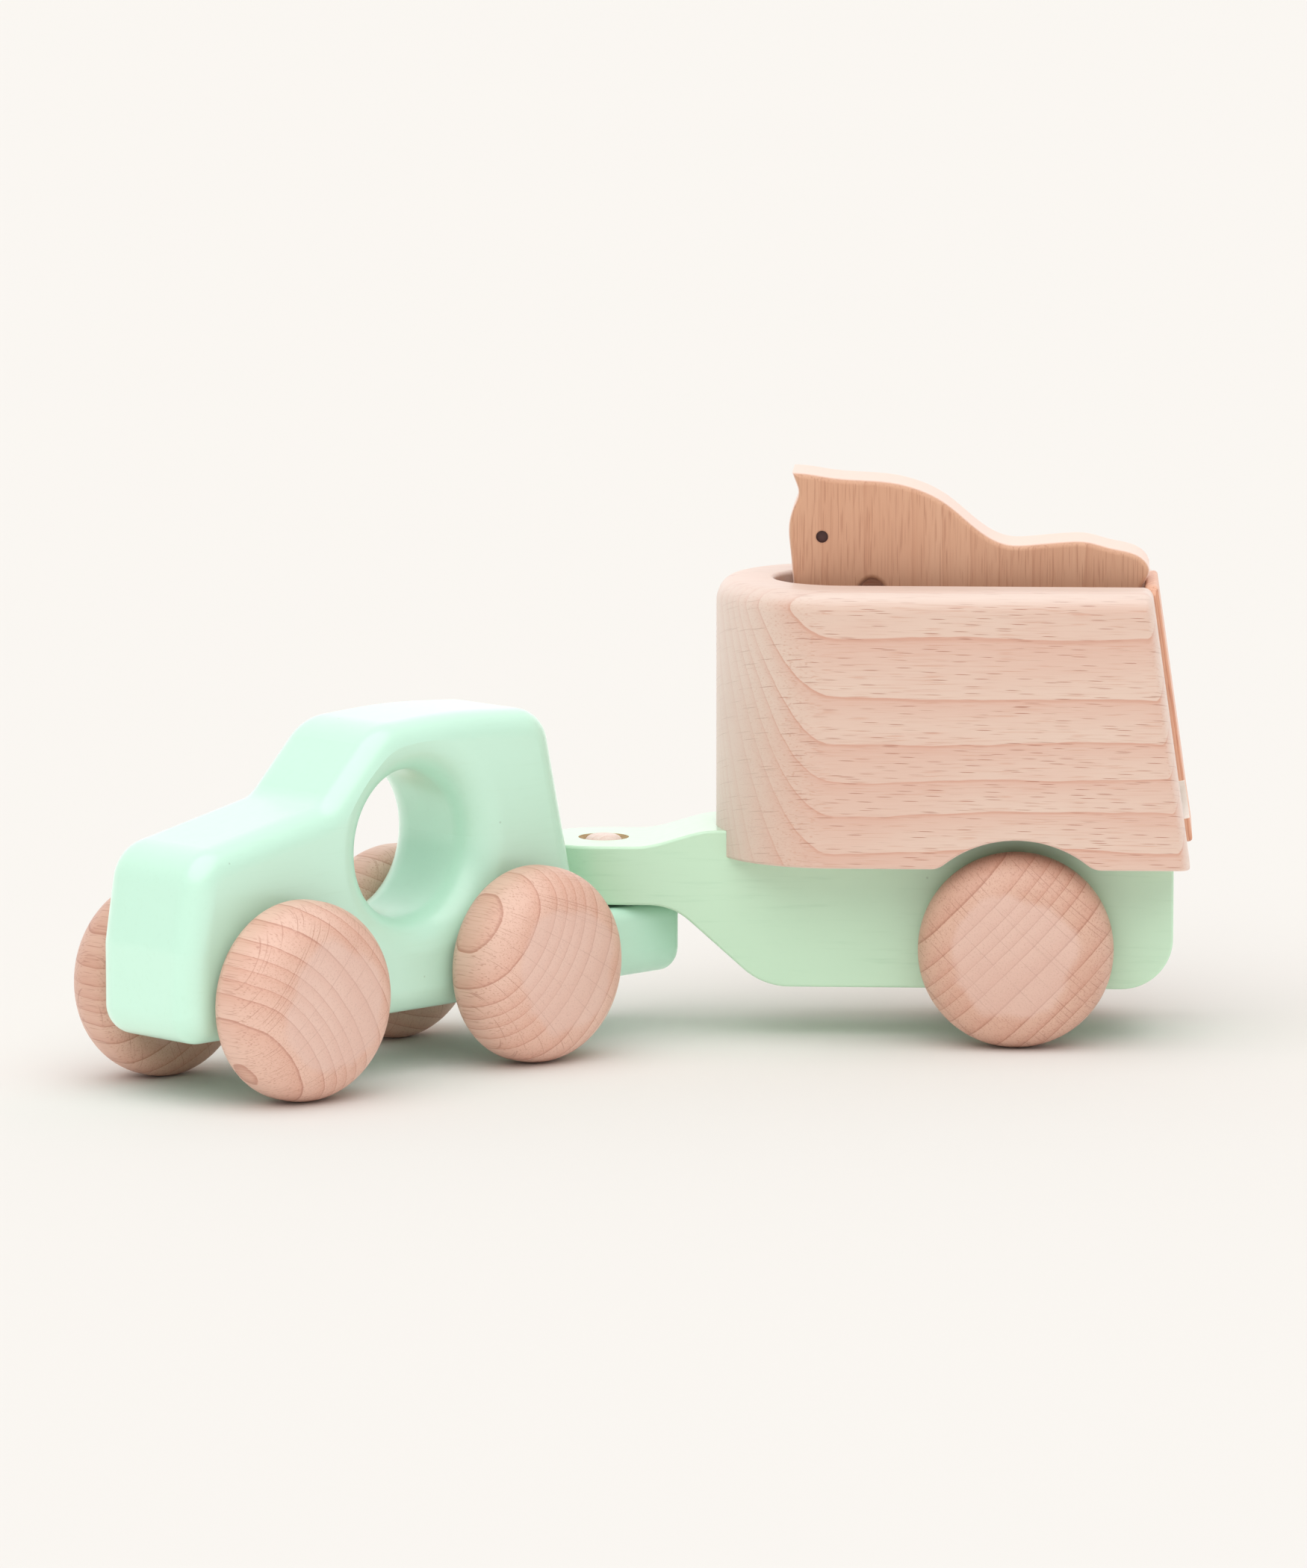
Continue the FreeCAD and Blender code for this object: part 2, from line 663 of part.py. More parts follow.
def cut_pocket(body):
    """The channel for the base, the pocket for the horse and the room for the tailgate."""
    half_base, half_pocket = "board_width / 2", "pocket_width / 2"
    channel = new_sketch(body, "channel", "YZ_Plane", z="box_front_x - cut_overrun")
    below_box = "box_underside - cut_overrun"
    draw_outline(channel, rectangle(f"-1 * {half_base}", half_base, below_box, "base_top"))
    add_feature(body, "Pocket", channel, "box_rear_foot_x", backwards=True)
    round_end = new_sketch(body, "pocket_end", "XY_Plane", z="pocket_floor")
    draw_circle(round_end, f"pocket_front_x + {half_pocket}", "0", "pocket_width")
    add_feature(body, "Pocket", round_end, "box_rim", backwards=True)
    trough = new_sketch(body, "pocket_trough", "XY_Plane", z="pocket_floor")
    round_centre, beyond = f"pocket_front_x + {half_pocket}", "box_rear_foot_x + cut_overrun"
    draw_outline(trough, rectangle(round_centre, beyond, f"-1 * {half_pocket}", half_pocket))
    add_feature(body, "Pocket", trough, "box_rim", backwards=True)
    recess = new_sketch(body, "gate_recess", "XZ_Plane")
    floor_end, above = "base_rear_x - rear_bevel", "pocket_floor + cut_overrun"
    bevel_end, below = "base_rear_x + cut_overrun", "base_top - rear_bevel - cut_overrun"
    draw_outline(
        recess,
        [(floor_end, above), (floor_end, "base_top"), (bevel_end, below), (beyond, below), (beyond, above)],
    )
    add_feature(body, "Pocket", recess, "pocket_width", both_ways=True)
    rim = lies_in("Z", "box_rim")
    reach = value(half_pocket) + NEAR

    def inner_rim(edge):
        return rim(edge) and max(abs(edge.BoundBox.YMin), abs(edge.BoundBox.YMax)) < reach
    round_edges(body, "pocket_rim", "pocket_rim_round", inner_rim)


def make_rod(name):
    """The steel rod that the tailgate swings on, or the hole for it. It enters by the right wall."""
    start = "( pocket_width / 2 + rod_wall_depth )"
    rod = cylinder(name, "rod_diameter", f"{start} + box_width / 2 - rod_end_inset")
    return move_to(rod, PIVOT_X, f"-1 * {start}", "gate_pivot_z", CROSSWISE)


def make_tailgate():
    """A thin ramp between the box's walls, thicker at its foot where the rod runs through. It is
    drawn upright with the rod at x = z = 0, then leaned forward like the box's rear face."""
    lean = "rear_slope * 1 deg"
    length = f"( box_rim - gate_pivot_z - gate_pivot_inset * sin( {lean} ) ) / cos( {lean} )"
    outer = "( gate_pivot_inset + gate_proud )"
    inner = f"( {outer} - gate_thickness )"
    half = "( pocket_width / 2 - gate_side_gap )"
    body = make_board(
        "gate_board",
        [
            (outer, "-1 * gate_foot_depth", "gate_toe_round"),
            (outer, length, None),
            (inner, length, None),
            (inner, "gate_foot_rise", "gate_foot_round"),
            ("-1 * gate_foot_back", "gate_foot_back", "gate_foot_round"),
            ("-1 * gate_foot_back", "-1 * gate_foot_depth", "gate_foot_round"),
        ],
        f"2 * {half}",
    )
    top, sides = lies_in("Z", length), lies_in("Y", half, f"-1 * {half}")
    outside = lies_in("X", outer)

    def upper_corner(edge):
        return top(edge) and edge.BoundBox.YLength < NEAR

    def handled(edge):
        return top(edge) or (outside(edge) and sides(edge))
    round_edges(body, "gate_corners", "gate_corner_round", upper_corner)
    round_edges(body, "gate_edges", "gate_edge_round", handled)
    for side, where in (("left", f"-1 * {half}"), ("right", half)):
        notch = new_sketch(body, f"gate_notch_{side}", "YZ_Plane")
        draw_circle(notch, where, "gate_notch_z - gate_pivot_z", "2 * gate_notch_radius")
        add_feature(body, "Pocket", notch, "4 * gate_thickness", both_ways=True)
    bore = cylinder("gate_bore", "rod_diameter + 2 * rod_clearance", "box_width")
    move_to(bore, "0", "-1 * box_width / 2", "0", CROSSWISE)
    gate = cut("tailgate", body, bore)
    leaning = FreeCAD.Rotation(FreeCAD.Vector(0, -1, 0), value("rear_slope"))
    move_to(gate, PIVOT_X, "0", "gate_pivot_z", leaning)
    bind(gate, Placement__Rotation__Angle=lean)
    finish(gate, "tailgate")


# The horse's outline, (x, z), as smooth runs and straight soles. Each run starts where the last ends.
HORSE_BACK = [
    (44.0, 130.9), (47.3, 130.7), (52.5, 129.9), (60.2, 129.3), (67.9, 128.6), (73.1, 127.2),
    (78.2, 124.8), (83.4, 120.8), (88.6, 116.7), (93.5, 114.6), (99.0, 114.6), (106.6, 115.3),
    (111.7, 115.3), (116.9, 114.0), (121.5, 113.0), (124.7, 111.4), (126.2, 108.5), (125.0, 105.8),
    (124.0, 101.5), (122.9, 93.0), (121.2, 78.0), (121.6, 66.0), (123.2, 55.0),
]
HORSE_BELLY = [
    (111.5, 55.0), (111.0, 66.0), (108.0, 76.0), (102.0, 80.6), (94.5, 81.8),
    (87.0, 80.0), (81.6, 74.5), (79.4, 66.0), (79.5, 55.0),
]
HORSE_CHEST = [
    (68.5, 55.0), (68.9, 66.0), (67.4, 80.0), (66.7, 92.0), (66.4, 100.0), (65.2, 104.3),
    (62.4, 106.3), (59.6, 104.3), (58.6, 100.0), (57.4, 95.5), (55.4, 91.2),
]
HORSE_FACE = [
    (55.4, 91.2), (51.0, 89.3), (46.6, 90.0), (44.6, 93.5), (44.5, 100.0), (44.2, 106.5), (43.6, 113.0),
    (43.3, 119.2), (44.4, 123.2), (45.4, 126.4), (44.7, 129.0), (44.0, 130.9),
]
HORSE_EYE = (50.9, 116.2)


def make_horse():
    """A horse sawn from a board, its head hanging in front of its chest, with a drilled eye each side."""
    half = value("horse_thickness") / 2

    def place(point):
        return FreeCAD.Vector(point[0], -half, point[1])

    def smooth(points):
        curve = Part.BSplineCurve()
        curve.interpolate([place(point) for point in points])
        return curve.toShape()

    outline = [
        smooth(HORSE_BACK),
        Part.makeLine(place(HORSE_BACK[-1]), place(HORSE_BELLY[0])),
        smooth(HORSE_BELLY),
        Part.makeLine(place(HORSE_BELLY[-1]), place(HORSE_CHEST[0])),
        smooth(HORSE_CHEST),
        smooth(HORSE_FACE),
    ]
    face = Part.Face(Part.Wire(outline))
    solid = face.extrude(FreeCAD.Vector(0, 2 * half, 0))
    floor, overrun = value("pocket_floor"), value("cut_overrun")
    rims = [
        edge for edge in solid.Edges
        if abs(abs(edge.BoundBox.YMin) - half) < NEAR and edge.BoundBox.YLength < NEAR
        and edge.BoundBox.ZMax > floor + NEAR
    ]
    solid = solid.makeFillet(value("horse_edge_round"), rims)
    for sign in (-1, 1):
        start = FreeCAD.Vector(HORSE_EYE[0], sign * (half + overrun), HORSE_EYE[1])
        inward = FreeCAD.Vector(0, -sign, 0)
        drill = Part.makeCylinder(value("eye_diameter") / 2, value("eye_depth") + overrun, start, inward)
        solid = solid.cut(drill)
    horse = DOC.addObject("Part::Feature", "horse")
    horse.Shape = solid
    finish_on_trailer(horse, "horse")


def build():
    make_car_body()
    make_hitch_peg()
    make_wheelset("car_front", CAR_FRONT_AXLE, finish_on_car)
    make_wheelset("car_rear", CAR_REAR_AXLE, finish_on_car)
    make_trailer_base()
    make_wheelset("trailer", "trailer_axle_x", finish_on_trailer)
    make_horse_box()
    finish(make_dowels("box_dowels"), "box_dowels")
    make_tailgate()
    finish(make_rod("tailgate_rod"), "tailgate_rod")
    make_horse()
    DOC.recompute()


def check_and_export():
    """Stop on any failed feature or bad solid, then write one STEP file per sub-part."""
    for thing in DOC.Objects:
        if "Invalid" in thing.State or "Error" in thing.State:
            raise RuntimeError(f"{thing.Name} failed: {thing.State}")
    for node in NODES:
        shape = node.Shape
        if shape.isNull() or not shape.isValid() or not shape.Solids:
            raise RuntimeError(f"{node.Label} has no valid solid")
    os.makedirs("parts", exist_ok=True)
    for node in NODES:
        node.Shape.exportStep(os.path.join("parts", f"{node.Label}.step"))
        print(f"{node.Label}: {len(node.Shape.Solids)} solid(s), {node.Shape.Volume:.1f} mm3")


build()
check_and_export()
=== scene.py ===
import json
import math

import bpy
from mathutils import Matrix, Vector


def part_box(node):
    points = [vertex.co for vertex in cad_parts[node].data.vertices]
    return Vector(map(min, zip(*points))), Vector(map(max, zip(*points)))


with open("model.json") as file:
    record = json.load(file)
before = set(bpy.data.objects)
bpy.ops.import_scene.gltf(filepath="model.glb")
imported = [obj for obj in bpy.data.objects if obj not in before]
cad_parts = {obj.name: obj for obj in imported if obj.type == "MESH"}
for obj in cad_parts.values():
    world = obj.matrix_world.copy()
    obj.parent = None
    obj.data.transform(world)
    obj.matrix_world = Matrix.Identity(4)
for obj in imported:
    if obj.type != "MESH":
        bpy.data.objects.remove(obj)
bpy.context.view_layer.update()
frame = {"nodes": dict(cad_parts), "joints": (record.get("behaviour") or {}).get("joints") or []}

# Looks of a wooden car that tows a horse box. Metres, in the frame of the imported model: +X runs back
# along the trailer, +Y to its right, +Z up, and the hitch peg stands on the origin.

MM = 0.001

X_AXIS = Vector((1, 0, 0))
Y_AXIS = Vector((0, 1, 0))
Z_AXIS = Vector((0, 0, 1))


# ---------------------------------------------------------------- colours

def linear(red, green, blue):
    """A colour given by its display values, 0 to 255, as linear light: the sRGB curve."""
    def decode(part):
        part /= 255
        return part / 12.92 if part <= 0.04045 else ((part + 0.055) / 1.055) ** 2.4
    return (decode(red), decode(green), decode(blue), 1.0)


BEECH_PALE = linear(213, 187, 171)
BEECH_PINK = linear(206, 165, 147)
BEECH_LINE = linear(194, 143, 121)
BEECH_FLECK = linear(164, 110, 88)
# Pale end-grain colour, also laid on as a painted highlight on the box's rim tops and its front and rear
# edges.
BEECH_END_AND_HIGHLIGHT = linear(226, 208, 198)
BEECH_SANDED = linear(217, 188, 177)
# Fresh-cut beech pushed near-white: painted light inside the tailgate's finger notches.
BEECH_FRESH_PAINTED_LIGHT = linear(250, 240, 230)
BORED_PALE = linear(228, 208, 168)
BORED_TAN = linear(206, 180, 138)
HORSE_PALE = linear(205, 158, 128)
HORSE_DARK = linear(191, 138, 107)
HORSE_STREAK = linear(166, 112, 84)
# Painted highlight colour for the horse's sawn edges.
HORSE_EDGE_HIGHLIGHT = linear(236, 206, 192)
EYE_BROWN = linear(80, 38, 30)
MINT = linear(192, 231, 210)
MINT_DULL = linear(188, 219, 190)
MINT_GRAIN = linear(162, 200, 168)
MINT_SPECK = linear(120, 150, 120)
STEEL = linear(176, 174, 170)
STEEL_DARK = linear(128, 126, 122)
PAPER = linear(219, 216, 212)
PAPER_PALE = linear(240, 236, 228)
BOUNCE_WHITE = linear(252, 250, 247)

# The four colours of a wood: early wood, late wood, ring line and ray.
BEECH = (BEECH_PALE, BEECH_PINK, BEECH_LINE, BEECH_FLECK)
PEG_WOOD = (BEECH_END_AND_HIGHLIGHT, BEECH_SANDED, BEECH_PINK, BEECH_LINE)
HORSE_WOOD = (HORSE_PALE, HORSE_DARK, HORSE_STREAK, HORSE_STREAK)
GATE_WOOD = (linear(226, 176, 148), linear(210, 150, 118), linear(178, 112, 84), linear(170, 104, 80))
END_GRAIN = (linear(219, 182, 164), linear(208, 160, 140), linear(176, 124, 105), linear(176, 125, 105))
END_GRAIN_DEEP = (linear(206, 167, 147), linear(195, 147, 126), linear(162, 110, 90), linear(156, 105, 86))


# ---------------------------------------------------------------- measures taken from the frame

def centre_of(node):
    low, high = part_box(node)
    return (low + high) / 2


def axle_direction(end):
    """Unit vector along an axle, from its left wheel to its right one."""
    across = centre_of(f"{end}_wheel_right") - centre_of(f"{end}_wheel_left")
    return across.normalized()


def place_of(joint):
    """Where a joint's axis stands."""
    return next(Vector(entry["pos_m"]) for entry in frame["joints"] if entry["name"] == joint)


CAR_BACK = axle_direction("car_rear").cross(Z_AXIS)
WHEEL_RADIUS = centre_of("trailer_axle").z


# ---------------------------------------------------------------- node graphs

class Graph:
    """Builds the node tree of one material. A value may be a number, a colour or another output."""

    def __init__(self, name):
        self.material = bpy.data.materials.new(name)
        self.material.use_nodes = True
        self.tree = self.material.node_tree
        self.tree.nodes.clear()

    def feed(self, socket, value):
        if isinstance(value, bpy.types.NodeSocket):
            self.tree.links.new(value, socket)
        else:
            socket.default_value = value

    def node(self, kind, settings=None, **inputs):
        made = self.tree.nodes.new(f"ShaderNode{kind}")
        for key, value in (settings or {}).items():
            setattr(made, key, value)
        for key, value in inputs.items():
            self.feed(made.inputs[key.replace("_", " ")], value)
        return made

    def math(self, operation, *values):
        made = self.node("Math", {"operation": operation})
        for socket, value in zip(made.inputs, values):
            self.feed(socket, value)
        return made.outputs[0]

    def vector_math(self, operation, *values):
        made = self.node("VectorMath", {"operation": operation})
        for socket, value in zip(made.inputs, values):
            self.feed(socket, value)
        return made.outputs

    def sum(self, first, second):
        return self.math("ADD", first, second)

    def times(self, first, second):
        return self.math("MULTIPLY", first, second)

    def squared(self, value):
        return self.times(value, value)

    def scaled(self, vector, factors):
        """A vector with each part multiplied by its own factor."""
        return self.vector_math("MULTIPLY", vector, factors)["Vector"]

    def length(self, vector):
        return self.vector_math("LENGTH", vector)["Value"]

    def parts(self, vector):
        return self.node("SeparateXYZ", Vector=vector).outputs

    def combined(self, first, second, third):
        return self.node("CombineXYZ", X=first, Y=second, Z=third).outputs[0]

    def ramp(self, value, low, high):
        """0 below low, 1 above high, and a smooth step between; low may be above high."""
        made = self.node("MapRange", {"interpolation_type": "SMOOTHSTEP"}, Value=value)
        ordered = (low, high, 0.0, 1.0) if low < high else (high, low, 1.0, 0.0)
        for key, number in zip(("From Min", "From Max", "To Min", "To Max"), ordered):
            made.inputs[key].default_value = number
        return made.outputs[0]

    def between(self, value, low, high):
        """A value from 0 to 1, spread from low to high."""
        return self.node("MapRange", Value=value, To_Min=low, To_Max=high).outputs[0]

    def noise(self, vector, detail=2.0, roughness=0.5):
        """Noise from 0 to 1, about 0.5 in the middle, at one swing per unit of the vector."""
        made = self.node("TexNoise", Vector=vector, Scale=1.0, Detail=detail, Roughness=roughness)
        return made.outputs["Fac"]

    def mix(self, factor, first, second):
        made = self.node("Mix", {"data_type": "RGBA"})
        factor_socket, first_socket, second_socket = (made.inputs[index] for index in (0, 6, 7))
        self.feed(factor_socket, factor)
        self.feed(first_socket, first)
        self.feed(second_socket, second)
        return made.outputs[2]

    def over(self, colour, amount, share, other):
        """A colour with another laid over it, in the given share where amount is 1."""
        return self.mix(self.times(amount, share), colour, other)

    def place(self):
        """Where a point lies in the frame, in metres, with its piece at rest."""
        return self.node("TexCoord").outputs["Object"]

    def facing(self, axis):
        """How squarely the surface faces along an axis of the frame, either way: 0 to 1."""
        normal = self.node("TexCoord").outputs["Normal"]
        return self.math("ABSOLUTE", self.vector_math("DOT_PRODUCT", normal, axis)["Value"])

    def finish(self, colour, roughness, height=None, depth=0.0, **principled):
        """Principled surface with an optional bump: height from 0 to 1 stands for depth in metres."""
        shader = self.node("BsdfPrincipled", Base_Color=colour, Roughness=roughness, **principled)
        if height is not None:
            bump = self.node("Bump", Height=height, Strength=1.0, Distance=depth)
            self.feed(shader.inputs["Normal"], bump.outputs["Normal"])
        output = self.node("OutputMaterial")
        self.feed(output.inputs["Surface"], shader.outputs[0])
        return self.material


def turned_to(grain, up):
    """Rotation whose own X axis is the grain and whose Z axis is as near to up as it can be."""
    forward = grain.normalized()
    across = up.cross(forward).normalized()
    raised = forward.cross(across)
    return Matrix((forward, across, raised)).transposed().to_euler()


def place_in(graph, centre, grain, up):
    """Position in a piece's own frame: X along the grain, in metres from the centre."""
    mapping = graph.node("Mapping", {"vector_type": "TEXTURE"}, Vector=graph.place())
    mapping.inputs["Location"].default_value = centre
    mapping.inputs["Rotation"].default_value = turned_to(grain, up)
    return mapping.outputs[0]


# ---------------------------------------------------------------- beech

# Rates are swings of noise per metre: along the grain, then across it both ways. Edges are the two
# values that a soft step runs between. Shares say how much of a colour is laid on, and levels how much
# a feature counts in the relief.
SWAY_ACROSS = 34.0
SWAY_REACH = 4.0
SHIVER_RATES = (90.0, 300.0, 300.0)
SHIVER_REACH = 0.6

LEAN_YEARS = 0.4
LEAN_YEARS_START = 1.3
LINE_STARTS = 0.90
LINE_DARKEST = 0.985
LINE_SHARE = 0.75

CLOUD_RATES = (16.0, 45.0, 45.0)
CLOUD_EDGES = (0.40, 0.70)
CLOUD_SHARE = 0.40

FIBRE_LENGTH = 12 * MM
FIBRE_WIDTH = 0.42 * MM
FIBRE_DARK_EDGES = (0.5, 0.8)
FIBRE_PALE_EDGES = (0.5, 0.2)
FIBRE_SHARE = 0.34
FIBRE_LEVEL = 0.6

PORE_RATE_ALONG = 120.0
PORE_SIZE = 0.30 * MM
PORE_EDGES = (0.62, 0.78)
PORE_SHARE = 0.45
PORE_LEVEL = 0.5

RAY_LENGTH = 12 * MM
RAY_WIDTH = 0.62 * MM
RAY_STAGGER = 0.38
RAY_EDGES = (0.19, 0.09)
RAY_PATCH = 9 * MM
RAY_PATCH_ROWS = 3
RAY_PATCH_EDGES = (0.30, 0.50)
RAY_LEVEL = 0.6

WOOD_ROUGHNESS = (0.46, 0.66)
WOOD_RELIEF = 0.04 * MM
WOOD_SHEEN = {"Coat_Weight": 0.35, "Coat_Roughness": 0.38, "Specular_IOR_Level": 0.4}


def trunk_place(graph, place, pith_distance, pith_angle, wobble, sway_rate):
    """Where a point lies in the trunk: how far out it is from the piece's own ring, its distance
    round the pith and its distance along the grain. pith_angle turns from the piece's Y axis
    towards its Z axis."""
    along, side, height = graph.parts(place)
    toward_pith = graph.sum(
        graph.times(side, math.cos(pith_angle)),
        graph.times(height, math.sin(pith_angle)),
    )
    across = graph.math(
        "SUBTRACT",
        graph.times(height, math.cos(pith_angle)),
        graph.times(side, math.sin(pith_angle)),
    )
    to_pith = graph.math("SUBTRACT", pith_distance, toward_pith)
    reach = graph.math("SQRT", graph.sum(graph.squared(to_pith), graph.squared(across)))
    slow = graph.noise(graph.scaled(place, (sway_rate, SWAY_ACROSS, SWAY_ACROSS)), detail=1.0)
    quick = graph.noise(graph.scaled(place, SHIVER_RATES))
    sway = graph.times(graph.math("SUBTRACT", slow, 0.5), SWAY_REACH * wobble)
    shiver = graph.times(graph.math("SUBTRACT", quick, 0.5), SHIVER_REACH * wobble)
    out = graph.sum(graph.math("SUBTRACT", reach, pith_distance), graph.sum(sway, shiver))
    around = graph.times(graph.math("ARCTAN2", across, to_pith), pith_distance)
    return out, around, along


def growth_rings(graph, out, ring_width, year):
    """(late, line): late rises from 0 to 1 across each year's ring and line marks its outer edge.
    Good and lean years follow each other; year shifts the whole run."""
    steps = graph.math("DIVIDE", out, ring_width)
    luck = graph.math("SINE", graph.sum(steps, LEAN_YEARS_START))
    age = graph.sum(graph.sum(steps, year), graph.times(luck, LEAN_YEARS))
    phase = graph.math("FRACT", age)
    late = graph.squared(phase)
    line = graph.times(graph.ramp(phase, LINE_STARTS, LINE_DARKEST), graph.ramp(phase, 1.0, LINE_DARKEST))
    return late, line


def rays(graph, out, around, along, share):
    """Medullary rays: ribbons that show as short dashes on a flat-sawn face and as fine broken lines
    across the rings on end grain. share is how many of them are dark. Each row starts a part of a ray
    further on than the row before, so that they don't stand in columns."""
    row = graph.math("DIVIDE", around, RAY_WIDTH)
    run = graph.sum(graph.math("DIVIDE", along, RAY_LENGTH), graph.times(row, RAY_STAGGER))
    cells = graph.node(
        "TexVoronoi", {"voronoi_dimensions": "2D"}, Vector=graph.combined(run, row, 0.0), Scale=1.0
    )
    core = graph.ramp(cells.outputs["Distance"], *RAY_EDGES)
    lot = graph.node("SeparateColor", Color=cells.outputs["Color"]).outputs[0]
    chosen = graph.ramp(lot, 1.0 - share, 1.1 - 0.4 * share)
    patch = graph.combined(
        graph.math("DIVIDE", out, RAY_PATCH),
        graph.math("DIVIDE", around, RAY_PATCH_ROWS * RAY_WIDTH),
        graph.math("DIVIDE", along, RAY_LENGTH),
    )
    broken = graph.ramp(graph.noise(patch, detail=1.0), *RAY_PATCH_EDGES)
    return graph.times(graph.times(core, chosen), broken)


def wood(name, centre, grain, up, colours, pith, year=0.0, ring_width=3.6 * MM, wobble=0.6 * MM,
         sway_rate=14.0, ring_strength=0.8, ray_share=0.5, ray_strength=0.75, overlay=None):
    """Beech. pith is (distance, angle) of the trunk's middle from the piece's centre. overlay may
    repaint the finished colour."""
    graph = Graph(name)
    place = place_in(graph, centre, grain, up)
    early, late_colour, line_colour, ray_colour = colours
    out, around, along = trunk_place(graph, place, *pith, wobble, sway_rate)
    late, line = growth_rings(graph, out, ring_width, year)
    clouds = graph.noise(graph.scaled(place, CLOUD_RATES), detail=3.0)
    fibres = graph.noise(graph.scaled(place, (1 / FIBRE_LENGTH, 1 / FIBRE_WIDTH, 1 / FIBRE_WIDTH)))
    pores = graph.noise(graph.scaled(place, (PORE_RATE_ALONG, 1 / PORE_SIZE, 1 / PORE_SIZE)), detail=0.0)
    pore = graph.ramp(pores, *PORE_EDGES)
    ray = rays(graph, out, around, along, ray_share)

    colour = graph.over(early, late, ring_strength, late_colour)
    colour = graph.over(colour, line, LINE_SHARE * ring_strength, line_colour)
    colour = graph.over(colour, graph.ramp(clouds, *CLOUD_EDGES), CLOUD_SHARE, late_colour)
    colour = graph.over(colour, graph.ramp(fibres, *FIBRE_DARK_EDGES), FIBRE_SHARE, line_colour)
    colour = graph.over(colour, graph.ramp(fibres, *FIBRE_PALE_EDGES), FIBRE_SHARE, early)
    colour = graph.over(colour, pore, PORE_SHARE, line_colour)
    colour = graph.over(colour, ray, ray_strength, ray_colour)
    if overlay:
        colour = overlay(graph, colour, place)

    hollow = graph.sum(graph.times(ray, RAY_LEVEL), graph.times(pore, PORE_LEVEL))
    height = graph.math("SUBTRACT", graph.times(fibres, FIBRE_LEVEL), hollow)
    roughness = graph.between(fibres, *WOOD_ROUGHNESS)
    return graph.finish(colour, roughness, height, WOOD_RELIEF, **WOOD_SHEEN)


# ---------------------------------------------------------------- wheels and dowels

SANDED_WANDER_RATE = 110.0
SANDED_WANDER = 0.30 * WHEEL_RADIUS
SANDED_OUTER = 0.84 * WHEEL_RADIUS
SANDED_INNER = 0.72 * WHEEL_RADIUS
SANDED_SHARE = 0.42


def sanded_disc(graph, colour, place):
    """A turned face rubbed paler in its middle: the disc is round the grain direction."""
    from_middle = graph.length(graph.scaled(place, (0.0, 1.0, 1.0)))
    uneven = graph.noise(graph.scaled(place, (0.0, SANDED_WANDER_RATE, SANDED_WANDER_RATE)))
    reach = graph.sum(from_middle, graph.times(uneven, SANDED_WANDER))
    return graph.over(colour, graph.ramp(reach, SANDED_OUTER, SANDED_INNER), SANDED_SHARE, BEECH_SANDED)


def wheel_material(end, side, pith_angle, pith_distance, year, wobble, colours):
    """End grain on the round face. pith_angle turns from the rear of the car or trailer towards the
    top."""
    outward = axle_direction(end) * (1 if side == "right" else -1)
    rearward = axle_direction(end).cross(Z_AXIS)
    toward_pith = rearward * math.cos(pith_angle) + Z_AXIS * math.sin(pith_angle)
    return wood(
        f"beech_{end}_wheel_{side}", centre_of(f"{end}_wheel_{side}"), outward, toward_pith, colours,
        pith=(pith_distance, math.pi / 2), year=year, ring_width=4.0 * MM, wobble=wobble, sway_rate=70.0,
        ring_strength=1.0, ray_share=0.95, ray_strength=0.55, overlay=sanded_disc,
    )


# Each wheel has its own stretch of trunk, so no two show the same rings: the pith's angle and
# distance from the wheel's centre, a share of a year, how far the rings wander and the colours.
WHEEL_TRUNKS = {
    ("car_front", "left"): (math.radians(220), 65 * MM, 0.2, 0.60 * MM, END_GRAIN),
    ("car_front", "right"): (math.radians(120), 90 * MM, 0.6, 0.60 * MM, END_GRAIN_DEEP),
    ("car_rear", "left"): (math.radians(147), 58 * MM, 0.9, 0.60 * MM, END_GRAIN),
    ("car_rear", "right"): (math.radians(75), 80 * MM, 0.1, 0.60 * MM, END_GRAIN),
    ("trailer", "left"): (math.radians(136), 500 * MM, 0.3, 0.25 * MM, END_GRAIN_DEEP),
    ("trailer", "right"): (math.radians(20), 150 * MM, 0.8, 0.60 * MM, END_GRAIN),
}


def dowel_material(node, grain, colours=BEECH):
    across = X_AXIS if grain == Z_AXIS else Z_AXIS
    return wood(
        f"beech_{node}", centre_of(node), grain, across, colours, pith=(20 * MM, 0.6),
        ring_width=2.4 * MM, wobble=0.3 * MM, ring_strength=0.7, ray_strength=0.4,
    )


# ---------------------------------------------------------------- box, tailgate and horse

BOX_RINGS_LEAN = math.atan2(-1.0, 3.5)
TOP_HIGHLIGHT_EDGES = (0.25, 0.80)
TOP_HIGHLIGHT_SHARE = 0.55
SAWN_HIGHLIGHT_EDGES = (0.25, 0.95)
SAWN_HIGHLIGHT_SHARE = 0.62


def end_grain_and_highlight(graph, colour, place):
    """Greyer and paler where the saw and the sander went across the grain, partly real end grain and
    partly a painted highlight on the round front and the rear edges; the top faces of the rim get a
    painted highlight too.
    """
    # Painted highlight: the upward faces of the rim are laid paler, as the light overhead makes them.
    top_highlight = graph.ramp(graph.facing(Z_AXIS), *TOP_HIGHLIGHT_EDGES)
    # Faces across the grain: paler, greyer end grain, with a painted highlight on the same faces at the
    # round front and the rear edges.
    sawn_and_highlight = graph.ramp(graph.facing(X_AXIS), *SAWN_HIGHLIGHT_EDGES)
    colour = graph.over(colour, top_highlight, TOP_HIGHLIGHT_SHARE, BEECH_END_AND_HIGHLIGHT)
    return graph.over(colour, sawn_and_highlight, SAWN_HIGHLIGHT_SHARE, BEECH_END_AND_HIGHLIGHT)


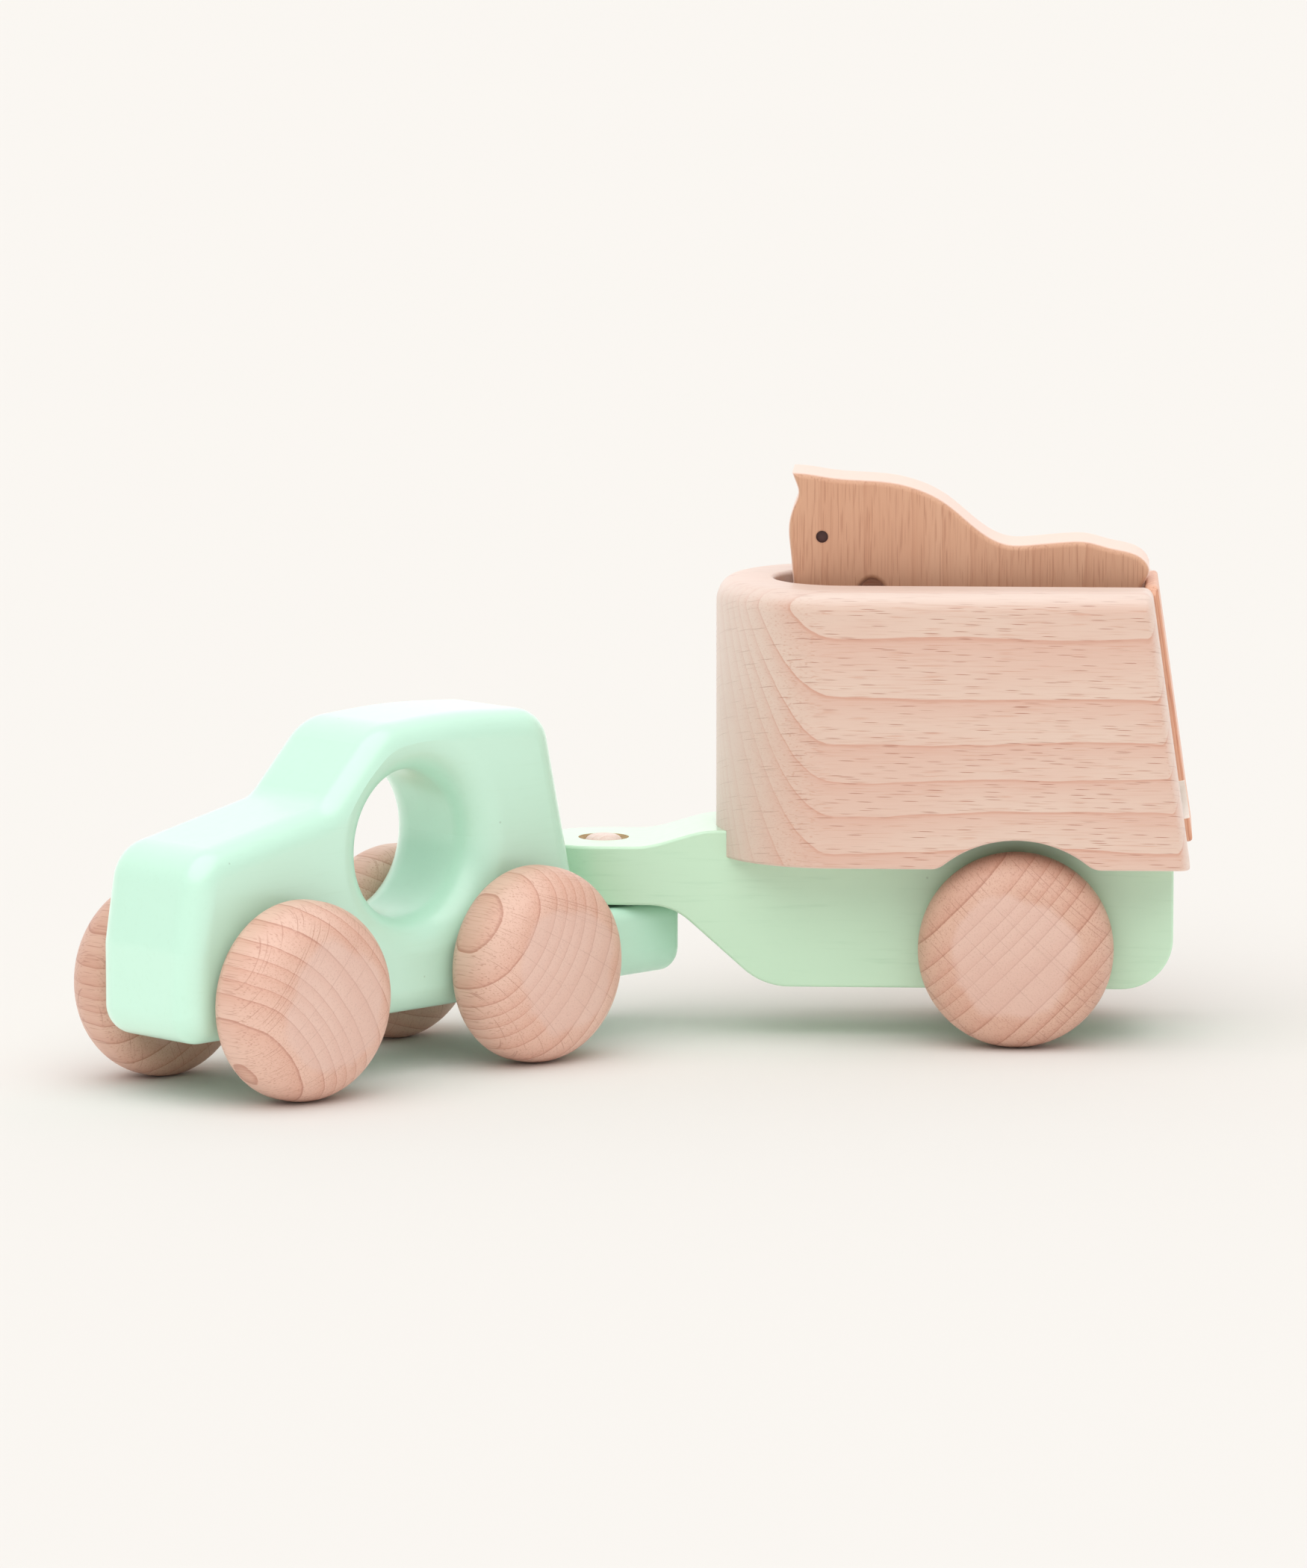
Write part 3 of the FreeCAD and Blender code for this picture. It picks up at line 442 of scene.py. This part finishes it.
def box_material():
    """Flat-sawn on its sides: the rings lean steeply, so they show as broad bands there and crowd
    together where the round front cuts them off."""
    low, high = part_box("horse_box")
    left_side = Vector(((low.x + high.x) / 2, low.y, (low.z + high.z) / 2))
    return wood(
        "beech_box_side", left_side, X_AXIS, Z_AXIS, BEECH, pith=(800 * MM, BOX_RINGS_LEAN),
        year=-0.09, ring_width=2.77 * MM, wobble=0.42 * MM, ring_strength=0.9, ray_share=0.85,
        ray_strength=0.8, overlay=end_grain_and_highlight,
    )


GATE_LEAN = math.radians(8.2)
NOTCH_ABOVE_HINGE = 5.9 * MM
NOTCH_RADIUS = 4.3 * MM
NOTCH_EDGES = (NOTCH_RADIUS + 0.20 * MM, NOTCH_RADIUS + 0.05 * MM)


def gate_material():
    """Grain upright, its edge crossed by dark lines; the cut of the finger notches is pale fresh wood,
    pushed near-white as painted light for the brightness inside them.
    """
    low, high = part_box("tailgate")
    half_width = (high.y - low.y) / 2
    upward = Vector((-math.sin(GATE_LEAN), 0.0, math.cos(GATE_LEAN)))

    def notch_fresh_and_painted_light(graph, colour, place):
        along, side, _ = graph.parts(place)
        to_edge = graph.math("SUBTRACT", half_width, graph.math("ABSOLUTE", side))
        to_middle = graph.math("SUBTRACT", along, NOTCH_ABOVE_HINGE)
        distance = graph.math("SQRT", graph.sum(graph.squared(to_edge), graph.squared(to_middle)))
        # The notch's cut is painted near-white: fresh wood plus painted light standing in for the bright
        # light inside it.
        return graph.mix(graph.ramp(distance, *NOTCH_EDGES), colour, BEECH_FRESH_PAINTED_LIGHT)

    return wood(
        "beech_gate_board", place_of("tailgate_hinge"), upward, X_AXIS, GATE_WOOD, pith=(50 * MM, 0.9),
        ring_width=3.0 * MM, ray_share=0.7, ray_strength=0.7, overlay=notch_fresh_and_painted_light,
    )


EYE_FROM_FRONT = 7.7 * MM
EYE_BELOW_TOP = 14.7 * MM
EYE_RADIUS = 1.4 * MM
EYE_EDGES = (EYE_RADIUS + 0.10 * MM, EYE_RADIUS - 0.02 * MM)
EYE_STAIN_EDGES = (EYE_RADIUS + 0.45 * MM, EYE_RADIUS)
EYE_STAIN_SHARE = 0.45
EYE_BURNT_BELOW = 0.12 * MM
HORSE_EDGE_HIGHLIGHT_EDGES = (0.75, 0.25)
HORSE_EDGE_HIGHLIGHT_SHARE = 0.85


def horse_material():
    """Grain upright, with dark streaks; the sawn edges are painted paler as a painted highlight from the
    light overhead, and the drilled eye is burnt brown inside."""
    low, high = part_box("horse")
    middle = (low + high) / 2
    eye_along = high.z - EYE_BELOW_TOP - middle.z
    eye_across = low.x + EYE_FROM_FRONT - middle.x
    half_thickness = (high.y - low.y) / 2

    def highlight_and_eye(graph, colour, place):
        along, side, height = graph.parts(place)
        drop = graph.squared(graph.math("SUBTRACT", along, eye_along))
        shift = graph.squared(graph.math("SUBTRACT", height, eye_across))
        distance = graph.math("SQRT", graph.sum(drop, shift))
        depth = graph.math("ABSOLUTE", side)
        sunk = graph.ramp(depth, half_thickness, half_thickness - EYE_BURNT_BELOW)
        # Painted highlight: the sawn edges round the outline are laid paler, as the light catches them.
        sawn_and_highlight = graph.ramp(graph.facing(Y_AXIS), *HORSE_EDGE_HIGHLIGHT_EDGES)
        stain = graph.ramp(distance, *EYE_STAIN_EDGES)
        inside = graph.ramp(distance, *EYE_EDGES)
        colour = graph.over(colour, sawn_and_highlight, HORSE_EDGE_HIGHLIGHT_SHARE, HORSE_EDGE_HIGHLIGHT)
        colour = graph.over(colour, stain, EYE_STAIN_SHARE, HORSE_STREAK)
        return graph.over(colour, inside, sunk, EYE_BROWN)

    return wood(
        "beech_horse_board", middle, Z_AXIS, X_AXIS, HORSE_WOOD, pith=(90 * MM, math.pi / 4),
        wobble=1.1 * MM, ring_width=6.5 * MM, ray_strength=0.22, ring_strength=0.40, overlay=highlight_and_eye,
    )


# ---------------------------------------------------------------- paint and steel

HITCH_HOLE_RADIUS = 5.9 * MM
HOLE_EDGES = (HITCH_HOLE_RADIUS + 0.5 * MM, HITCH_HOLE_RADIUS + 0.4 * MM)
HOLE_WALL_EDGES = (0.35, 0.20)
HOLE_STREAK_RATES = (160.0, 500.0, 2200.0)
HOLE_STREAK_EDGES = (0.35, 0.70)

PAINT_CLOUD_RATES = (22.0, 30.0, 30.0)
PAINT_CLOUD_EDGES = (0.40, 0.72)
PAINT_CLOUD_SHARE = 0.10
PAINT_STREAK_RATES = (60.0, 900.0, 900.0)
PAINT_STREAK_EDGES = (0.52, 0.85)
PAINT_SKIN_RATES = (420.0, 420.0, 420.0)
PAINT_SKIN_LEVEL = 0.35
SPECKS_PER_METRE = 110.0
SPECK_EDGES = (0.040, 0.015)
SPECK_SHARE = 0.35
PAINT_ROUGHNESS = (0.34, 0.46)
PAINT_RELIEF = 0.02 * MM
PAINT_SHEEN = {"Coat_Weight": 0.8, "Coat_Roughness": 0.24, "Specular_IOR_Level": 0.5}

SCRATCH_RATES = (80.0, 6000.0, 6000.0)
SCRATCH_SHARE = 0.4
STEEL_ROUGHNESS = (0.22, 0.42)
STEEL_RELIEF = 0.01 * MM


def bare_hitch_hole(graph, colour, place):
    """The drilled hole in the trailer's tongue was bored after painting, so its wall is bare wood."""
    from_axis = graph.length(graph.scaled(graph.place(), (1.0, 1.0, 0.0)))
    inside = graph.ramp(from_axis, *HOLE_EDGES)
    wall = graph.ramp(graph.facing(Z_AXIS), *HOLE_WALL_EDGES)
    streaks = graph.noise(graph.scaled(place, HOLE_STREAK_RATES))
    bare = graph.mix(graph.ramp(streaks, *HOLE_STREAK_EDGES), BORED_PALE, BORED_TAN)
    return graph.over(colour, inside, wall, bare)


def mint_paint(name, centre, grain, base, grain_share, overlay=None):
    """Satin paint over wood: soft, with a faint skin, a few specks and some of the grain showing."""
    graph = Graph(name)
    place = place_in(graph, centre, grain, Z_AXIS)
    clouds = graph.noise(graph.scaled(place, PAINT_CLOUD_RATES))
    streaks = graph.noise(graph.scaled(place, PAINT_STREAK_RATES), detail=3.0, roughness=0.6)
    skin = graph.noise(graph.scaled(place, PAINT_SKIN_RATES), detail=1.0)
    cells = graph.node("TexVoronoi", Vector=place, Scale=SPECKS_PER_METRE)
    speck = graph.ramp(cells.outputs["Distance"], *SPECK_EDGES)

    colour = graph.over(base, graph.ramp(clouds, *PAINT_CLOUD_EDGES), PAINT_CLOUD_SHARE, MINT_GRAIN)
    colour = graph.over(colour, graph.ramp(streaks, *PAINT_STREAK_EDGES), grain_share, MINT_GRAIN)
    colour = graph.over(colour, speck, SPECK_SHARE, MINT_SPECK)
    if overlay:
        colour = overlay(graph, colour, place)

    height = graph.sum(graph.times(skin, PAINT_SKIN_LEVEL), graph.times(streaks, grain_share))
    roughness = graph.between(skin, *PAINT_ROUGHNESS)
    return graph.finish(colour, roughness, height, PAINT_RELIEF, **PAINT_SHEEN)


def steel_material():
    graph = Graph("drawn_steel")
    place = place_in(graph, centre_of("tailgate_rod"), Y_AXIS, Z_AXIS)
    scratches = graph.noise(graph.scaled(place, SCRATCH_RATES))
    colour = graph.over(STEEL, scratches, SCRATCH_SHARE, STEEL_DARK)
    roughness = graph.between(scratches, *STEEL_ROUGHNESS)
    return graph.finish(colour, roughness, scratches, STEEL_RELIEF, Metallic=1.0)


# ---------------------------------------------------------------- putting the finishes on

CAR_GRAIN_SHARE = 0.10
TRAILER_GRAIN_SHARE = 0.42


def dress(node, material):
    frame["nodes"][node].data.materials[0] = material


def dress_car():
    body_paint = mint_paint("mint_car", centre_of("car_body"), CAR_BACK, MINT, CAR_GRAIN_SHARE)
    dress("car_body", body_paint)
    dress("hitch_peg", dowel_material("hitch_peg", Z_AXIS, PEG_WOOD))


def dress_trailer():
    base_paint = mint_paint(
        "mint_trailer", centre_of("trailer_base"), X_AXIS, MINT_DULL, TRAILER_GRAIN_SHARE, bare_hitch_hole
    )
    dress("trailer_base", base_paint)
    dress("horse_box", box_material())
    dress("box_dowels", dowel_material("box_dowels", Z_AXIS))
    dress("tailgate", gate_material())
    dress("tailgate_rod", steel_material())
    dress("horse", horse_material())


def dress_wheels():
    for end in ("car_front", "car_rear", "trailer"):
        dress(f"{end}_axle", dowel_material(f"{end}_axle", axle_direction(end)))
    for (end, side), trunk in WHEEL_TRUNKS.items():
        dress(f"{end}_wheel_{side}", wheel_material(end, side, *trunk))


# ---------------------------------------------------------------- floor, light and camera

FLOOR_HALF_WIDTH = 30.0
FLOOR_CORNERS = ((-1, -1), (1, -1), (1, 1), (-1, 1))
FLOOR_TINT_RATES = (3.0, 3.0, 3.0)
FLOOR_TINT_SHARE = 0.02


def build_floor():
    """A plain pale floor that runs past the picture on every side. It throws back more light than it
    shows, as the lit paper round a product does."""
    corners = [(x * FLOOR_HALF_WIDTH, y * FLOOR_HALF_WIDTH, 0.0) for x, y in FLOOR_CORNERS]
    mesh = bpy.data.meshes.new("floor")
    mesh.from_pydata(corners, [], [(0, 1, 2, 3)])
    floor = bpy.data.objects.new("floor", mesh)
    bpy.context.scene.collection.objects.link(floor)
    graph = Graph("floor_paper")
    tint = graph.noise(graph.scaled(graph.place(), FLOOR_TINT_RATES), detail=1.0)
    paper = graph.over(PAPER, tint, FLOOR_TINT_SHARE, PAPER_PALE)
    seen = graph.node("LightPath").outputs["Is Camera Ray"]
    colour = graph.mix(seen, BOUNCE_WHITE, paper)
    mesh.materials.append(graph.finish(colour, 1.0, Specular_IOR_Level=0.0))


def direction(azimuth, elevation):
    """Unit vector towards a viewpoint: azimuth 0 lies towards -Y and 90 towards +X, in degrees."""
    turn, rise = math.radians(azimuth), math.radians(elevation)
    return Vector((math.sin(turn) * math.cos(rise), -math.cos(turn) * math.cos(rise), math.sin(rise)))


def add_sun(name, azimuth, elevation, strength, softness):
    """Light from one direction, spread over softness degrees of the sky."""
    light = bpy.data.lights.new(name, "SUN")
    light.energy = strength
    light.angle = math.radians(softness)
    lamp = bpy.data.objects.new(name, light)
    lamp.rotation_euler = direction(azimuth, elevation).to_track_quat("Z", "Y").to_euler()
    bpy.context.scene.collection.objects.link(lamp)


SKY_WHITE = (1.0, 0.995, 0.985, 1.0)
SKY_STRENGTH = 0.50
BACKDROP_STRENGTH = 1.35


def build_sky():
    """An even white tent, growing brighter towards the backdrop behind the toy at +Y."""
    world = bpy.data.worlds.new("studio")
    bpy.context.scene.world = world
    world.use_nodes = True
    nodes, links = world.node_tree.nodes, world.node_tree.links
    background = nodes["Background"]
    background.inputs["Color"].default_value = SKY_WHITE
    place = nodes.new("ShaderNodeTexCoord")
    parts = nodes.new("ShaderNodeSeparateXYZ")
    fade = nodes.new("ShaderNodeMapRange")
    fade.inputs["To Min"].default_value = SKY_STRENGTH
    fade.inputs["To Max"].default_value = BACKDROP_STRENGTH
    links.new(place.outputs["Generated"], parts.inputs[0])
    links.new(parts.outputs["Y"], fade.inputs["Value"])
    links.new(fade.outputs[0], background.inputs["Strength"])


def build_light():
    """The tent, one broad lamp overhead and a weak one low in front."""
    build_sky()
    add_sun("overhead", azimuth=-8, elevation=66, strength=2.3, softness=80)
    add_sun("front_fill", azimuth=5, elevation=4, strength=0.10, softness=70)
    bpy.context.scene.view_settings.view_transform = "Standard"


AIM = Vector((11.6 * MM, 0.0, 57.0 * MM))
CAMERA_DISTANCE = 2.103
CAMERA_AZIMUTH = 2.81
CAMERA_ELEVATION = 8.28
LENS_MM = 207.8
SENSOR_MM = 36.0
FAR_CLIP = 200.0


def build_camera():
    """The photograph's viewpoint: almost square on to the trailer's left side, from a little above."""
    data = bpy.data.cameras.new("camera")
    data.lens = LENS_MM
    data.sensor_width = SENSOR_MM
    data.clip_end = FAR_CLIP
    camera = bpy.data.objects.new("camera", data)
    away = direction(CAMERA_AZIMUTH, CAMERA_ELEVATION)
    camera.location = AIM + away * CAMERA_DISTANCE
    camera.rotation_euler = away.to_track_quat("Z", "Y").to_euler()
    bpy.context.scene.collection.objects.link(camera)
    bpy.context.scene.camera = camera


dress_car()
dress_trailer()
dress_wheels()
build_floor()
build_light()
build_camera()
